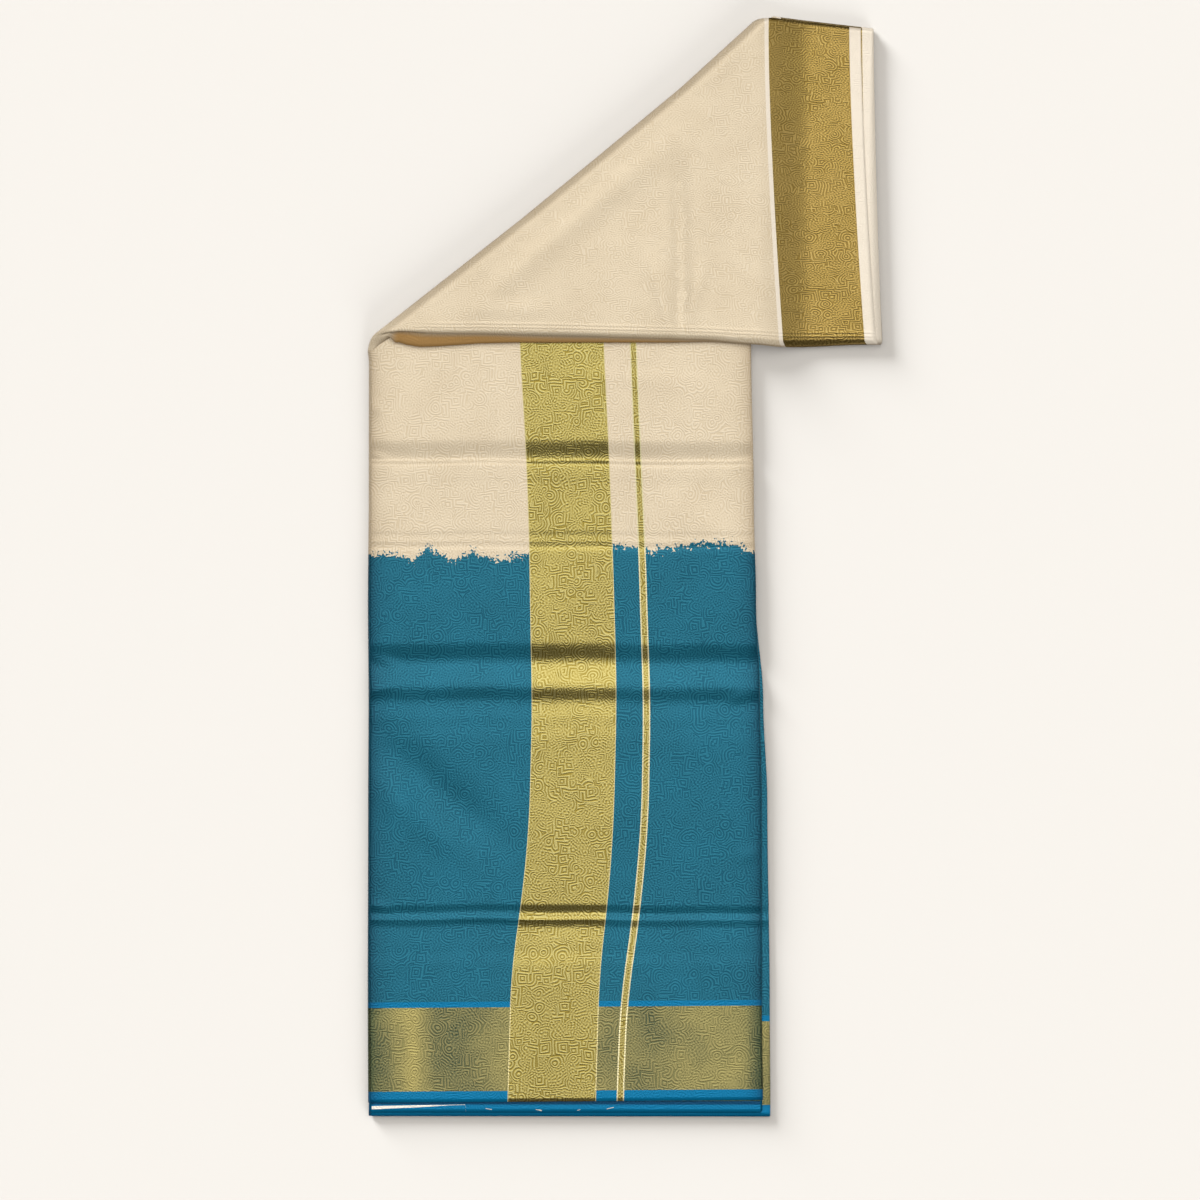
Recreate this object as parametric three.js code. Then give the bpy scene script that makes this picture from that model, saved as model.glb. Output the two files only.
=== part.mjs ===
// A kasavu saree: one woven length of tissue silk, folded in half four times into sixteen layers.
// The folded strip lies flat, and its upper end is turned over to the right along a slanting fold.
// Units are millimetres. Z is up, the saree lies on z = 0, Y runs along the strip, X across it.
import * as THREE from "three";

const STACK = 10; // sixteen layers, pressed by hand
const CLOTH = 1.2; // wall that stands for one layer of the cloth
const GAP = 0.3; // between neighbouring pieces
const FOLD_BULGE = 3.5; // how far a pressed fold edge rounds outwards
const BUNDLE_BULGE = 2.5; // the same on the half stack at the strip's right side
const HALF_LEVEL = STACK / 2; // where the upper and the lower bundle meet
const TUCK = 0.5; // hidden layers end this far inside a fold
const LAYER_GROOVE = 0.8; // depth of the lines between the layers at an edge
const GROOVE_SHARE = 0.3; // of a layer's height, taken by the slope on each side of its swell

// The strip's two sides. The lower bundle slips out on the right towards the bottom.
const SIDES = [
  { y: -506, left: -236.0, upper: 127.6, lower: 135.2 },
  { y: -398, left: -236.4, upper: 126.5, lower: 134.6 },
  { y: -214, left: -236.0, upper: 126.3, lower: 132.4 },
  { y: -122, left: -235.6, upper: 124.7, lower: 128.6 },
  { y: -30, left: -236.2, upper: 121.2, lower: 121.6 },
  { y: 60, left: -235.4, upper: 119.1, lower: 119.4 },
  { y: 205, left: -235.2, upper: 116.6, lower: 117.0 },
  { y: 500, left: -235.2, upper: 113.6, lower: 114.0 },
];

// The bottom selvedges, from the top panel down to the layer on the table.
const HEMS = {
  front: { left: -492.4, right: -490.0 },
  upper: { left: -495.6, right: -495.0 },
  lower: { left: -500.6, right: -501.4 },
  back: { left: -505.4, right: -505.0 },
};

// Pressed creases across the strip: height of the top panel along its length.
const CREASES = [
  { y: -520, z: 0 },
  { y: -392, z: 0 },
  { y: -368, z: -0.15 },
  { y: -351, z: -0.55 },
  { y: -327, z: -0.9 },
  { y: -324.5, z: 0.35 },
  { y: -318, z: -1.2 },
  { y: -310, z: 0 },
  { y: -245, z: 0.1 },
  { y: -161, z: 0 },
  { y: -142, z: -0.35 },
  { y: -124, z: -0.9 },
  { y: -110, z: 0.55 },
  { y: -87, z: -1.9 },
  { y: -68.5, z: 0 },
  { y: -30, z: 0.1 },
  { y: 15, z: 0 },
  { y: 19, z: -0.35 },
  { y: 24.5, z: 0 },
  { y: 28, z: -0.3 },
  { y: 34, z: 0 },
  { y: 76, z: 0 },
  { y: 85, z: 0.2 },
  { y: 93.5, z: 0.1 },
  { y: 99.5, z: -1.7 },
  { y: 118.5, z: 0 },
  { y: 150, z: 0.1 },
  { y: 178, z: 0 },
  { y: 520, z: 0 },
];

// Outermost line of the slanting fold, from the left corner to the tip.
const FOLD_LINE = [
  { x: -244.0, y: 202.5 },
  { x: -234.1, y: 211.5 },
  { x: -169.7, y: 262.0 },
  { x: -96.1, y: 319.8 },
  { x: -22.5, y: 380.0 },
  { x: 51.1, y: 441.0 },
  { x: 101.7, y: 487.0 },
  { x: 121.6, y: 505.2 },
];
const FOLD_FROM = { x: -229.2 }; // first thread of the flap on that line
const FOLD_TO = { x: 117.2 }; // last thread

// Where the flap's face ends, at its bottom and top corner, and how far the layers reach past it.
const FLAP_END = {
  bottom: { x: 231.5, y: 210.5, reach: 5.0 },
  top: { x: 217.5, y: 496.0, reach: 11.5 },
};
const END_CURVE = 1.5; // above 1, the end leans more near its bottom corner than near its top
// The flap's bottom edge sags a little between its corners, and the stack slumps out under it.
const FLAP_BOTTOM = [
  { x: -236, rise: 0, slump: 0 },
  { x: -170, rise: 0, slump: 0.4 },
  { x: -97, rise: 1.2, slump: 0.6 },
  { x: 66, rise: 0.8, slump: 1 },
  { x: 118, rise: -0.6, slump: 5.2 },
  { x: 146, rise: -1.8, slump: 6 },
  { x: 237, rise: 0, slump: 2.6 },
];
// A soft trough runs up the flap from its bottom edge.
const FLAP_TROUGH = { x: 53, depth: 1.1, half: 15, top: 360, fade: 60 };
// Past the strip's side, and clear of the slanting fold, the flap comes down to the table.
const DROOP = { start: 118.5, clear: 6, length: 44 };

const ACROSS = 12; // steps across a panel
const FOLD_STEPS = 10; // steps round the slanting fold
const FLAP_FLAT_STEPS = 8; // steps along the flap where it lies on the strip
const FLAP_DROOP_STEPS = 9; // steps from there to its end
const FAN_STEPS = 5; // rows of the strip hidden by the flap
const FAN_START = 190; // the strip's rows turn towards the fold above this line

// Value of a table's column at a position, straight between its rows or eased.
function lookUp(table, key, column, at, eased = false) {
  let i = 1;
  while (i < table.length - 1 && table[i][key] < at) i += 1;
  const a = table[i - 1];
  const b = table[i];
  const t = THREE.MathUtils.clamp((at - a[key]) / (b[key] - a[key]), 0, 1);
  const s = eased ? THREE.MathUtils.smoothstep(t, 0, 1) : t;
  return THREE.MathUtils.lerp(a[column], b[column], s);
}

const lerp = THREE.MathUtils.lerp;
const leftAt = (y) => lookUp(SIDES, "y", "left", y, true);
const upperAt = (y) => lookUp(SIDES, "y", "upper", y, true);
const lowerAt = (y) => lookUp(SIDES, "y", "lower", y, true);
const topAt = (y) => STACK + lookUp(CREASES, "y", "z", y, true);

// The flap rests on the strip, and on the table past the place where it starts to come down.
function flapBase(x, start) {
  return (STACK + GAP) * (1 - THREE.MathUtils.smoothstep(x, start, start + DROOP.length));
}

// The trough lowers the flap's face.
function flapDip(x, y) {
  const t = FLAP_TROUGH;
  const side = Math.max(0, 1 - Math.abs(x - t.x) / t.half);
  const along = 1 - THREE.MathUtils.smoothstep(y, t.top - t.fade, t.top);
  return t.depth * side * side * (3 - 2 * side) * along;
}

// The slanting fold turns round a level axis just inside its outermost line.
const FOLD_RADIUS = STACK + GAP / 2;

const SLOPE_REACH = 30; // the fold line's direction is measured over this far to each side
// A point on the fold's outermost line at x, with the line's direction and the way out of it.
function foldPoint(x) {
  const y = lookUp(FOLD_LINE, "x", "y", x);
  const ahead = Math.min(x + SLOPE_REACH, FOLD_LINE.at(-1).x);
  const behind = Math.max(x - SLOPE_REACH, FOLD_LINE[0].x);
  const rise = lookUp(FOLD_LINE, "x", "y", ahead) - lookUp(FOLD_LINE, "x", "y", behind);
  const along = new THREE.Vector2(ahead - behind, rise).normalize();
  const out = new THREE.Vector2(-along.y, along.x);
  return { at: new THREE.Vector2(x, y), along, out };
}

// Each thread winds round the fold like a helix: it comes up the strip and leaves along the flap.
// u is 0 on the flap's bottom edge and 1 on its top edge; turn is 0 under the strip, pi on top.
function foldThread(u, turn) {
  const base = foldPoint(lerp(FOLD_FROM.x, FOLD_TO.x, u));
  const pitchIn = base.along.y / base.out.y;
  const pitchOut = base.along.x / -base.out.x;
  const quarter = Math.PI / 2;
  const past = turn - quarter;
  const slide = (past < 0 ? pitchIn : pitchOut) * past * FOLD_RADIUS;
  const middle = (pitchIn + pitchOut) / 2;
  const eased = lerp(middle * past * FOLD_RADIUS, slide, Math.min(1, Math.abs(past) / quarter));
  const reach = FOLD_RADIUS * (Math.sin(turn) - 1);
  const plan = base.at.clone();
  plan.addScaledVector(base.along, eased);
  plan.addScaledVector(base.out, reach);
  const pitch = lerp(pitchIn, pitchOut, turn / Math.PI);
  const round = new THREE.Vector3(
    base.out.x * Math.cos(turn), base.out.y * Math.cos(turn), Math.sin(turn));
  const edge = new THREE.Vector3(-base.along.x, -base.along.y, 0);
  edge.addScaledVector(round, pitch).normalize();
  const normal = new THREE.Vector3(
    base.out.x * Math.sin(turn), base.out.y * Math.sin(turn), -Math.cos(turn));
  return {
    point: new THREE.Vector3(plan.x, plan.y, FOLD_RADIUS * (1 - Math.cos(turn))),
    normal,
    edge,
    thick: STACK,
  };
}

// A value at the flap's end, between its bottom and top corner.
function atFlapEnd(key, u) {
  return lerp(FLAP_END.bottom[key], FLAP_END.top[key], 1 - Math.pow(1 - u, END_CURVE));
}

// A place on the flap's face, a number of steps past the fold.
function flapPlace(u, step) {
  const from = foldThread(u, Math.PI).point;
  const stop = atFlapEnd("x", u);
  const start = Math.max(DROOP.start, from.x + DROOP.clear);
  const past = step - FLAP_FLAT_STEPS;
  let x = lerp(from.x, start, step / FLAP_FLAT_STEPS);
  if (past > 0) x = lerp(start, stop, past / FLAP_DROOP_STEPS);
  const v = (x - from.x) / (stop - from.x);
  const straight = lerp(from.y, lerp(FLAP_END.bottom.y, FLAP_END.top.y, u), v);
  const y = straight + lookUp(FLAP_BOTTOM, "x", "rise", x, true) * (1 - u);
  const dip = flapDip(x, y);
  return {
    point: new THREE.Vector3(x, y, flapBase(x, start) + STACK - dip),
    normal: new THREE.Vector3(0, 0, 1),
    edge: new THREE.Vector3(0, -1, 0),
    thick: STACK - dip,
  };
}

// A closed solid between grids of points. at(i, j, level) gives the point in column i and row j.
// The first and last level are whole grids; those between are only the line round the sides.
function solidFrom(columns, rows, levels, at) {
  const points = [];
  const index = [];
  const put = (p) => {
    points.push(p[0], p[1], p[2]);
    return points.length / 3 - 1;
  };
  const grid = (level) => {
    const ids = [];
    for (let j = 0; j < rows; j += 1) {
      ids.push([]);
      for (let i = 0; i < columns; i += 1) ids[j].push(put(at(i, j, level)));
    }
    return ids;
  };
  const rim = [];
  for (let i = 0; i < columns - 1; i += 1) rim.push([i, 0]);
  for (let j = 0; j < rows - 1; j += 1) rim.push([columns - 1, j]);
  for (let i = columns - 1; i > 0; i -= 1) rim.push([i, rows - 1]);
  for (let j = rows - 1; j > 0; j -= 1) rim.push([0, j]);

  const floor = grid(0);
  const roof = grid(levels - 1);
  const rings = [rim.map(([i, j]) => floor[j][i])];
  for (let level = 1; level < levels - 1; level += 1) {
    rings.push(rim.map(([i, j]) => put(at(i, j, level))));
  }
  rings.push(rim.map(([i, j]) => roof[j][i]));

  for (let j = 0; j < rows - 1; j += 1) {
    for (let i = 0; i < columns - 1; i += 1) {
      const f = [floor[j][i], floor[j][i + 1], floor[j + 1][i + 1], floor[j + 1][i]];
      const r = [roof[j][i], roof[j][i + 1], roof[j + 1][i + 1], roof[j + 1][i]];
      index.push(f[0], f[2], f[1], f[0], f[3], f[2]);
      index.push(r[0], r[1], r[2], r[0], r[2], r[3]);
    }
  }
  for (let k = 0; k < rings.length - 1; k += 1) {
    for (let n = 0; n < rim.length; n += 1) {
      const m = (n + 1) % rim.length;
      const [a, b, c, d] = [rings[k][n], rings[k][m], rings[k + 1][m], rings[k + 1][n]];
      index.push(a, b, c, a, c, d);
    }
  }
  const geometry = new THREE.BufferGeometry();
  geometry.setAttribute("position", new THREE.Float32BufferAttribute(points, 3));
  geometry.setIndex(index);
  geometry.computeVertexNormals();
  return geometry;
}

// Rows of a panel that takes the creases: one at each, and one between two that differ in height.
const FIRST_ROW = -470;
const HEM_STEP = 0.35; // one more row lies this far from the hem to the first row
const STEEP = { height: 0.3, run: 6 }; // a slope with more than this gets a row halfway
const creasedRows = [FIRST_ROW, (FIRST_ROW + CREASES[1].y) / 2];
for (let k = 1; k < CREASES.length - 1; k += 1) {
  const { y, z } = CREASES[k];
  const before = CREASES[k - 1];
  const steep = Math.abs(z - before.z) > STEEP.height && y - before.y > STEEP.run;
  if (steep) creasedRows.push((y + before.y) / 2);
  creasedRows.push(y);
}
creasedRows.push(FAN_START);
// Rows of a flat panel: enough for its sides.
const flatRows = [FIRST_ROW, -398, -306, -214, -122, -30, 60, 130, FAN_START];

const countOf = (rows) => rows.length + 2 + FAN_STEPS;

// Where a row of the strip runs, for a piece with its own rows, hem and right side.
// u is 0 on the line where the left fold starts and 1 where the right edge starts.
function stripPlace(u, j, rows, hem, rightAt, rightInset) {
  const across = (y) => lerp(leftAt(y) + FOLD_BULGE, rightAt(y) - rightInset, u);
  const hemY = lerp(hem.left, hem.right, u);
  if (j === 0) return { x: across(hemY), y: hemY };
  if (j === 1) {
    const y = lerp(hemY, rows[0], HEM_STEP);
    return { x: across(y), y };
  }
  const row = j - 2;
  if (row < rows.length) return { x: across(rows[row]), y: rows[row] };
  const end = foldThread(u, 0).point;
  const t = (row - rows.length + 1) / FAN_STEPS;
  const stop = end.y - GAP;
  return { x: lerp(across(FAN_START), end.x, t), y: lerp(FAN_START, stop, t) };
}

// The top panel: it wraps the whole stack on the left and the upper bundle on the right.
const LEFT_WRAP = 7;
const RIGHT_WRAP = 6;
const RIGHT_TURN = 0.86 * Math.PI; // the wrap stops short of the lower bundle
const frontColumns = LEFT_WRAP + ACROSS + 1 + RIGHT_WRAP;
function frontPoint(i, j, level) {
  const wall = level === 0 ? CLOTH : 0;
  const across = i - LEFT_WRAP;
  const u = THREE.MathUtils.clamp(across / ACROSS, 0, 1);
  const place = stripPlace(u, j, creasedRows, HEMS.front, upperAt, BUNDLE_BULGE);
  const top = topAt(place.y);
  if (across < 0) {
    const turn = (i / LEFT_WRAP) * Math.PI;
    const half = top / 2;
    const x = place.x - (FOLD_BULGE - wall) * Math.sin(turn);
    return [x, place.y, half - (half - wall) * Math.cos(turn)];
  }
  if (across <= ACROSS) return [place.x, place.y, top - wall];
  const turn = ((across - ACROSS) / RIGHT_WRAP) * RIGHT_TURN;
  const half = (top - HALF_LEVEL - GAP / 2) / 2;
  const x = place.x + (BUNDLE_BULGE - wall) * Math.sin(turn);
  return [x, place.y, top - half + (half - wall) * Math.cos(turn)];
}

// Hidden layers show only as lines at the edges: each layer swells between two grooves.
function layerLevels(count) {
  const levels = [];
  for (let k = 0; k < count; k += 1) {
    levels.push({ height: k / count, out: -LAYER_GROOVE });
    levels.push({ height: (k + GROOVE_SHARE) / count, out: 0 });
    levels.push({ height: (k + 1 - GROOVE_SHARE) / count, out: 0 });
  }
  levels.push({ height: 1, out: -LAYER_GROOVE });
  return levels;
}

// One bundle of the strip's hidden layers. Each layer down reaches a little further out.
function bundlePoint(bundle, levels) {
  return (i, j, k) => {
    const { height, out } = levels[k];
    const u = i / ACROSS;
    const step = bundle.slide * (1 - height);
    const { rows, hem, rightAt, rightInset } = bundle;
    const place = stripPlace(u, j, rows, hem, rightAt, rightInset);
    const left = i === 0 ? TUCK : 0;
    const right = i === ACROSS && j < countOf(rows) - 1 ? out : 0;
    const end = j === 0 ? out + step : 0;
    const x = place.x + right + (i === 0 ? -left : 0);
    const roof = bundle.topAt(place.y);
    return [x, place.y - end, lerp(bundle.base, roof, height)];
  };
}

const UPPER_BUNDLE = {
  rows: creasedRows,
  hem: HEMS.upper,
  rightAt: upperAt,
  rightInset: BUNDLE_BULGE + TUCK,
  slide: 2.4,
  base: HALF_LEVEL + GAP / 2,
  topAt: (y) => topAt(y) - CLOTH - GAP,
};
const LOWER_BUNDLE = {
  rows: flatRows,
  hem: HEMS.lower,
  rightAt: lowerAt,
  rightInset: LAYER_GROOVE / 4,
  slide: 2.0,
  base: CLOTH + GAP,
  topAt: () => HALF_LEVEL - GAP / 2,
};

const FREE_END_INSET = 1.2; // the saree's cut end lies this far inside the lower bundle
// The panel on the table: flat, with its free end on the right.
function backPoint(i, j, level) {
  const u = i / ACROSS;
  const place = stripPlace(u, j, flatRows, HEMS.back, lowerAt, FREE_END_INSET);
  const x = place.x + (i === 0 ? GAP : 0);
  return [x, place.y, level === 0 ? 0 : CLOTH];
}

// Rows of the flap, from under the strip round the slanting fold and along the flap.
const FLAP_ROWS = FOLD_STEPS + 1 + FLAP_FLAT_STEPS + FLAP_DROOP_STEPS;
function flapRow(u, j) {
  if (j <= FOLD_STEPS) return foldThread(u, (j / FOLD_STEPS) * Math.PI);
  return flapPlace(u, j - FOLD_STEPS);
}

// The flap's face is the strip's lowest panel turned up. It wraps the stack at the bottom edge.
const FACE_WRAP = 8;
const FACE_TURN = 0.82 * Math.PI; // the wrap stops short of the strip under it
const LEAN_ROWS = 3; // the slump starts over this many rows past the fold
const faceColumns = FACE_WRAP + ACROSS + 1;
function facePoint(i, j, level) {
  const wall = level === 0 ? CLOTH : 0;
  const u = Math.max(0, i - FACE_WRAP) / ACROSS;
  const row = flapRow(u, j);
  if (i >= FACE_WRAP) return row.point.addScaledVector(row.normal, -wall).toArray();
  const turn = (1 - i / FACE_WRAP) * FACE_TURN;
  const half = row.thick / 2;
  const slump = lookUp(FLAP_BOTTOM, "x", "slump", row.point.x, true);
  const lean = THREE.MathUtils.smoothstep(j, FOLD_STEPS, FOLD_STEPS + LEAN_ROWS) * slump;
  const bulge = (FOLD_BULGE - wall) * Math.sin(turn) + lean * Math.sin(turn / 2) * Math.sin(turn);
  const point = row.point.clone();
  point.addScaledVector(row.normal, -half + (half - wall) * Math.cos(turn));
  point.addScaledVector(row.edge, bulge);
  return point.toArray();
}

// The layers inside the flap fill the slanting fold and show at the flap's end and top edge.
const flapLevels = layerLevels(4);
function flapLayerPoint(i, j, k) {
  const { height, out } = flapLevels[k];
  const u = i / ACROSS;
  const row = flapRow(u, j);
  const depth = lerp(row.thick, CLOTH + GAP, height);
  const point = row.point.clone();
  point.addScaledVector(row.normal, -depth);
  if (i === 0) point.addScaledVector(row.edge, TUCK);
  if (i === ACROSS) point.addScaledVector(row.edge, -out);
  if (j === FLAP_ROWS - 1) point.x += atFlapEnd("reach", u) + out;
  return point.toArray();
}

const CREAM = 0xe2d1b5;
const TEAL = 0x2a6b80;
const SELVEDGE = 0x0278a3;

const group = new THREE.Group();
group.name = "kasavu_saree";

// Adds one piece to the group, with its own cloth colour.
function addPiece(name, geometry, colour, roughness, metalness) {
  const material = new THREE.MeshStandardMaterial({ color: colour, roughness, metalness });
  const mesh = new THREE.Mesh(geometry, material);
  mesh.name = name;
  group.add(mesh);
}

const bundleLevels = layerLevels(2);
const frontGrid = solidFrom(frontColumns, countOf(creasedRows), 2, frontPoint);
addPiece("front_panel", frontGrid, TEAL, 0.55, 0.1);
for (const [name, bundle] of [["upper_layers", UPPER_BUNDLE], ["lower_layers", LOWER_BUNDLE]]) {
  const at = bundlePoint(bundle, bundleLevels);
  const grid = solidFrom(ACROSS + 1, countOf(bundle.rows), bundleLevels.length, at);
  addPiece(name, grid, SELVEDGE, 0.6, 0);
}
const backGrid = solidFrom(ACROSS + 1, countOf(flatRows), 2, backPoint);
addPiece("back_panel", backGrid, TEAL, 0.55, 0.1);
// The flap's columns are taken from its top edge down, so that its grids face outwards.
const faceGrid = solidFrom(faceColumns, FLAP_ROWS, 2,
  (i, j, k) => facePoint(faceColumns - 1 - i, j, k));
addPiece("flap_face", faceGrid, CREAM, 0.5, 0.15);
const layerGrid = solidFrom(ACROSS + 1, FLAP_ROWS, flapLevels.length,
  (i, j, k) => flapLayerPoint(ACROSS - i, j, k));
addPiece("flap_layers", layerGrid, CREAM, 0.6, 0);

export default group;
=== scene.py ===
# %% [markdown]
# # A folded kasavu saree
# A kasavu saree is one woven length of tissue silk, 5.5 m long and 1.15 m wide, with a border of
# gold thread (zari) along both edges. Folded in half four times it makes a strip of sixteen layers.
# The strip lies flat, and its upper end is turned over to the right along a slanting fold.
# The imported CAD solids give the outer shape. Here each stretch of cloth that shows becomes a thin
# sheet on its solid, and the hidden layers become real folded sheets, so that the edges show them.

# %% The frame, and the camera's picture
import math

import bpy
import numpy as np
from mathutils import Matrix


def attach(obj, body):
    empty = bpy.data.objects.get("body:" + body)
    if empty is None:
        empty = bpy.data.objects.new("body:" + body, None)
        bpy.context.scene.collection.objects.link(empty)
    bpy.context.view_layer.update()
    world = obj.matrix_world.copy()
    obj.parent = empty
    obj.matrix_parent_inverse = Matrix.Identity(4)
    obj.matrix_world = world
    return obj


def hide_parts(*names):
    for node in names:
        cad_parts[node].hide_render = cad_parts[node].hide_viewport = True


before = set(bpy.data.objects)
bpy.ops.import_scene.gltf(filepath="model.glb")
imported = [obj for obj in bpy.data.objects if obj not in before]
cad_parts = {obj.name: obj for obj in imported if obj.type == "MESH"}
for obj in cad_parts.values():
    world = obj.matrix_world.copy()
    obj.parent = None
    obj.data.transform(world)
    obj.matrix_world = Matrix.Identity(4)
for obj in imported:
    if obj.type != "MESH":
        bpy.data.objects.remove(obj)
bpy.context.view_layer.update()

# %% [markdown]
# ## Sizes
# Everything is worked out in millimetres and turned to metres when a mesh is made. The tables hold
# the strip's sides, its hems and the line of the slanting fold, as they lie seen from above.

# %% Sizes of the folded stack
STACK = 10.0  # sixteen layers pressed by hand
LAYERS = 16
CLOTH = 0.34  # a sheet's wall, thicker than the real 0.2 mm so that its edge shows
GAP = 0.3
FOLD_BULGE = 3.5  # the pressed fold on the left rounds out this far
BUNDLE_BULGE = 2.5  # the fold of the upper half stack on the right
RIGHT_INSET = {"upper": BUNDLE_BULGE, "lower": 1.6}  # where the right side's folds begin
LOOM_WIDTH = 1150.0
PANEL = 344.0  # one of sixteen panels of a 5.5 m length
HEM = -505.0  # where the lowest layer's selvedge lies
FAN_START = 190.0  # above this line the threads turn towards the slanting fold
FOLD_RADIUS = STACK + GAP / 2

SIDES = {
    "y": [-506, -398, -214, -122, -30, 60, 205, 500],
    "left": [-236.0, -236.4, -236.0, -235.6, -236.2, -235.4, -235.2, -235.2],
    "upper": [127.6, 126.5, 126.3, 124.7, 121.2, 119.1, 116.6, 113.6],
    "lower": [135.2, 134.6, 132.4, 128.6, 121.6, 119.4, 117.0, 114.0],
}
FOLD_LINE = {
    "x": [-244.0, -234.1, -169.7, -96.1, -22.5, 51.1, 101.7, 121.6],
    "y": [202.5, 211.5, 262.0, 319.8, 380.0, 441.0, 487.0, 505.2],
}
FOLD_FROM, FOLD_TO = -229.2, 117.2
FLAP_END = {"x": (231.5, 217.5), "y": (210.5, 496.0), "reach": (5.0, 11.5)}  # bottom and top corner
END_CURVE = 1.5  # above 1, the end leans more near its bottom corner
FLAP_BOTTOM = {
    "x": [-236, -206, -170, -124, -68, -4, 70, 118, 146, 237],
    "rise": [0, 0, 0, 0.8, 1.2, 1.0, 0.8, -0.6, -1.8, 0],
    "slump": [0, 0.2, 0.8, 1.4, 2.8, 2.5, 2.8, 5.2, 6, 2.6],
}
# Below the lip the inner layers hang out of the fold, like a shallow pocket, most at the left corner.
POCKET = {"x": [-236, -222, -212, -200, -188, -175, -137, -98, -59, -20, 40, 104],
          "hang": [0, 5, 9, 13, 14.5, 13.5, 10, 7.6, 6.4, 5.4, 3.6, 0]}
SQUARE = 0.6  # below 1, the flap's lower edge is pressed flatter than a half circle
MOUTH = {"depth": 0.33, "reach": 0.12, "size": 0.95}  # a dark slit between the lip and the pocket
LIP_LINES = {"in": (2.4, 5.6), "half": 0.9, "height": 0.3}  # lines pressed along the flap's lower edge
# Right of the strip nothing holds the flap up: from this x on it sinks to the table, over this length.
DROOP_START, DROOP_LENGTH = 118.5, 54.0
# Pressed creases right across the strip, as height of the top panel along it.
CREASES = {
    "y": [-520, -392, -368, -351, -327, -324.5, -318, -310, -245, -161, -142, -124, -110, -87, -68.5,
          -30, 15, 19, 24.5, 28, 34, 76, 85, 93.5, 99.5, 118.5, 150, 178, 520],
    "z": [0, 0, -0.2, -0.8, -1.3, 0.35, -1.8, 0, 0.1, 0, -0.5, -1.3, 0.6, -3.1, 0,
          0.1, 0, -0.5, 0, -0.4, 0, 0, 0.2, 0.2, -2.3, 0, 0.1, 0, 0],
}


def ease(t):
    t = np.clip(t, 0.0, 1.0)
    return t * t * (3 - 2 * t)


def look_up(table, key, column, at):
    """A table's column at a position, eased between its rows as in the solids."""
    xs, ys = np.array(table[key], float), np.array(table[column], float)
    at = np.asarray(at, float)
    i = np.clip(np.searchsorted(xs, at) - 1, 0, len(xs) - 2)
    return ys[i] + (ys[i + 1] - ys[i]) * ease((at - xs[i]) / (xs[i + 1] - xs[i]))


def fold_line(x):
    return np.interp(x, FOLD_LINE["x"], FOLD_LINE["y"])


print("strip", round(SIDES["lower"][0] - SIDES["left"][0]), "mm wide,", LAYERS, "layers in", STACK, "mm")

# %% [markdown]
# ## How a thread runs
# On the real saree every weft thread goes straight up the strip, winds round the slanting fold like
# a helix and leaves along the flap. One function follows that path for any layer: `u` goes across
# the strip from its left fold (0) to its right side (1), `row` goes along the thread, and `depth`
# counts from the outer face, which is on the table under the strip and on top of the flap.
# A cloth simulation could fold the strip, but a path that is worked out keeps all sixteen layers
# clear of each other and ends exactly on the solids.

# %% The path of a thread
ROW_FOLD, ROW_FLAP, ROW_END = 290.0, 390.0, 490.0  # rows where the fold, the flap and the end begin


def lerp(a, b, t):
    return a + (b - a) * t


def fold_thread(u, turn):
    """Where thread u is on the slanting fold. turn is 0 under the strip and pi on top of it."""
    x = lerp(FOLD_FROM, FOLD_TO, u)
    low, high = FOLD_LINE["x"][0], FOLD_LINE["x"][-1]
    ahead, behind = np.minimum(x + 30, high), np.maximum(x - 30, low)
    slope = (fold_line(ahead) - fold_line(behind)) / (ahead - behind)
    size = np.sqrt(1 + slope * slope)
    along = np.stack([1 / size, slope / size], -1)
    out = np.stack([-along[..., 1], along[..., 0]], -1)
    pitch_in = along[..., 1] / out[..., 1]
    pitch_out = along[..., 0] / -out[..., 0]
    past = turn - math.pi / 2
    slide = np.where(past < 0, pitch_in, pitch_out) * past * FOLD_RADIUS
    middle = (pitch_in + pitch_out) / 2 * past * FOLD_RADIUS
    slide = lerp(middle, slide, np.minimum(1, np.abs(past) / (math.pi / 2)))
    reach = FOLD_RADIUS * (np.sin(turn) - 1)
    plan = np.stack([x, fold_line(x)], -1) + along * slide[..., None] + out * reach[..., None]
    pitch = lerp(pitch_in, pitch_out, turn / math.pi)[..., None]
    cos, sin = np.cos(turn)[..., None], np.sin(turn)[..., None]
    edge = np.concatenate([-along + out * cos * pitch, sin * pitch], -1)
    edge /= np.linalg.norm(edge, axis=-1, keepdims=True)
    normal = np.concatenate([out * sin, -cos], -1)
    height = FOLD_RADIUS * (1 - np.cos(turn))
    return np.concatenate([plan, height[..., None]], -1), normal, edge


def pocket(x, q, out):
    """How far the pocket hangs out at x and at depth share q, for a fold that bulges by out."""
    hang = np.interp(x, POCKET["x"], POCKET["hang"])
    return hang * np.maximum(out, 0) / FOLD_BULGE * ease((q - 0.35) / 0.3) * (1 - ease((q - 0.86) / 0.12))


def droop(x):
    """How far the flap has sunk at x, where the strip no longer holds it up."""
    return (STACK + GAP) * ease((x - DROOP_START) / DROOP_LENGTH)


def strip_relief(x, y):
    """Height of the top panel above the flat stack: the pressed creases, slightly bowed."""
    bowed = y + 0.7 * np.sin(x / 61.0 + 0.4) + 0.35 * np.sin(x / 17.0)
    crease = look_up(CREASES, "y", "z", bowed)
    crease = crease * (1 + 0.13 * np.sin(x / 43.0 + y / 90.0))
    crease = crease + strokes(PANEL_STROKES, x, y)
    return crease * (1 - ease((y - 168) / 20))


def flap_relief(x, y):
    return strokes(FLAP_STROKES, x, y)


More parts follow.
